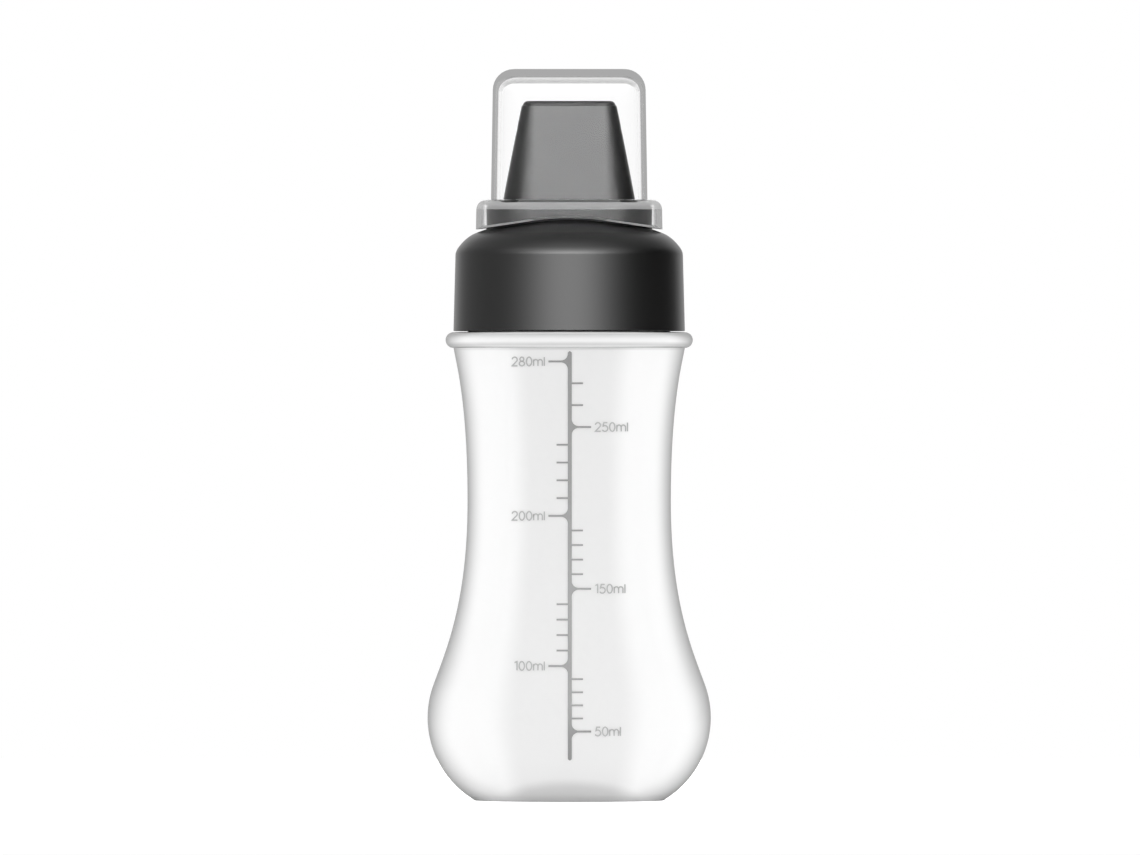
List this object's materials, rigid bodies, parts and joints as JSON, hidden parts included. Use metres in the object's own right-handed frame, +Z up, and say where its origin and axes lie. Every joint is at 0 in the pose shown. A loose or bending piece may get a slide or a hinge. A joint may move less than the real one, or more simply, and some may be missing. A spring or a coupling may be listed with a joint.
{
  "type": "multi-hole squeeze bottle",
  "caption": "Waisted translucent squeeze bottle for sauces with a dark screw cap, a flat nozzle that pours in parallel lines, and a clear dust cover.",
  "frame": {"origin": "centre of the base, on the surface that the bottle stands on", "axes": "+Z up along the bottle's axis, +X along the row of holes, -Y towards the printed scale"},
  "size_m": [0.072, 0.072, 0.1857],
  "materials": {
    "bottle": "translucent satin",
    "cap_seal": "soft matte",
    "screw_cap": "fine matte",
    "dust_cover": "clear polished"
  },
  "bodies": {
    "bottle": {"bottle": "bottle"},
    "seal": {"cap_seal": "cap_seal"},
    "cap": {"screw_cap": "screw_cap"},
    "cover": {"dust_cover": "dust_cover"}
  },
  "joints": [
    {"name": "cap_lift", "type": "slide", "parent": "bottle", "child": "seal", "axis": [0, 0, 1], "range_m": [0, 0.02]},
    {"name": "cap_turn", "type": "hinge", "parent": "seal", "child": "cap", "pos_m": [0, 0, 0.13], "axis": [0, 0, 1], "range_deg": [0, 1710]},
    {"name": "cover_lift", "type": "slide", "parent": "cap", "child": "cover", "axis": [0, 0, 1], "range_m": [0, 0.04]}
  ],
  "couplings": [
    {"joint": "cap_lift", "follows": "cap_turn", "m_per_rad": 0.00066845}
  ]
}
